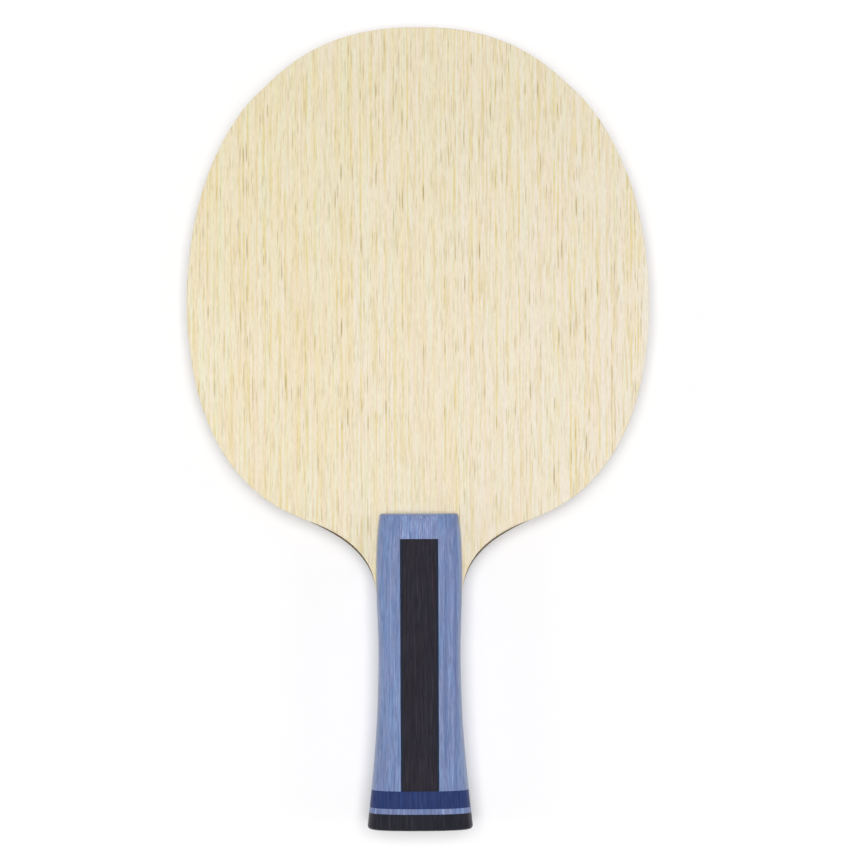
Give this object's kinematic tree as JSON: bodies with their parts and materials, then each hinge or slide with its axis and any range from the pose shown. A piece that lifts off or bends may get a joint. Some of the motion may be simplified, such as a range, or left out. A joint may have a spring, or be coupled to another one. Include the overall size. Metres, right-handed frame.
{
  "type": "table tennis paddle",
  "caption": "Table tennis blade without rubber: a laminated wood head on a flared handle of dyed wood strips, with dark and pale bands round its butt.",
  "frame": {"origin": "in the middle of the paddle's length and width, level with the thickest line of the back scale", "axes": "+X to the right seen from the front face, +Y from the butt towards the tip of the head, +Z out of the front face"},
  "size_m": [0.1492, 0.2586, 0.025],
  "materials": {
    "face_veneer": "satin",
    "fibre_weave": "satin",
    "inner_veneer": "matte",
    "core_wood": "matte",
    "blue_wood": "satin",
    "black_wood": "satin",
    "royal_wood": "satin",
    "pale_wood": "satin",
    "butt_wood": "satin"
  },
  "bodies": {
    "root": {"core_ply": "core_wood", "inner_ply_front": "inner_veneer", "inner_ply_back": "inner_veneer", "fibre_ply_front": "fibre_weave", "fibre_ply_back": "fibre_weave", "face_ply_front": "face_veneer", "face_ply_back": "face_veneer", "left_strip_front": "blue_wood", "right_strip_front": "blue_wood", "top_block_front": "blue_wood", "centre_strip_front": "black_wood", "royal_band_front": "royal_wood", "pale_stripe_front": "pale_wood", "butt_block_front": "butt_wood", "left_strip_back": "blue_wood", "right_strip_back": "blue_wood", "top_block_back": "blue_wood", "centre_strip_back": "black_wood", "royal_band_back": "royal_wood", "pale_stripe_back": "pale_wood", "butt_block_back": "butt_wood"}
  },
  "joints": []
}
